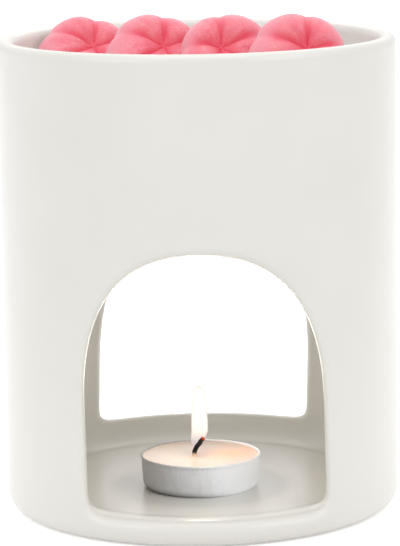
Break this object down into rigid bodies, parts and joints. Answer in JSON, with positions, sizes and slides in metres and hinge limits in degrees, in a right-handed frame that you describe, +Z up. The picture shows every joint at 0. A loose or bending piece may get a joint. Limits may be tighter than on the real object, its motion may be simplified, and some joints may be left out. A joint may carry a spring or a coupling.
{
  "type": "wax melt warmer",
  "caption": "Glazed ceramic drum warmer: a dish for scented wax melts over an arched candle chamber lit by a tea light.",
  "frame": {"origin": "middle of the base, on the table that the warmer stands on", "axes": "+Z up along the drum, -Y towards the front arch, +X to the right as seen from the front"},
  "size_m": [0.124, 0.124, 0.1568],
  "materials": {
    "glaze": "glossy warm white glaze over fired clay",
    "cup_metal": "thin pressed sheet, satin",
    "candle_wax": "pale paraffin wax, softly translucent near the flame",
    "tinplate": "bright tinned sheet",
    "wick_cotton": "waxed cotton cord, charred at the burnt end",
    "melt_wax": "coral pink wax with a fine sugary frost"
  },
  "bodies": {
    "warmer": {"ceramic_body": "glaze"},
    "tealight": {"tealight_cup": "cup_metal", "tealight_wax": "candle_wax", "wick_sustainer": "tinplate", "tealight_wick": "wick_cotton"},
    "melt_1": {"wax_melt_1": "melt_wax"},
    "melt_2": {"wax_melt_2": "melt_wax"},
    "melt_3": {"wax_melt_3": "melt_wax"},
    "melt_4": {"wax_melt_4": "melt_wax"}
  },
  "joints": [
    {"name": "tealight_out", "type": "slide", "parent": "warmer", "child": "tealight", "axis": [0, -0.9962, 0.0872], "range_m": [0, 0.085]},
    {"name": "melt_1_lift", "type": "slide", "parent": "warmer", "child": "melt_1", "axis": [0, 0, 1], "range_m": [0, 0.035]},
    {"name": "melt_2_lift", "type": "slide", "parent": "warmer", "child": "melt_2", "axis": [0, 0, 1], "range_m": [0, 0.035]},
    {"name": "melt_3_lift", "type": "slide", "parent": "warmer", "child": "melt_3", "axis": [0, 0, 1], "range_m": [0, 0.035]},
    {"name": "melt_4_lift", "type": "slide", "parent": "warmer", "child": "melt_4", "axis": [0, 0, 1], "range_m": [0, 0.035]}
  ]
}
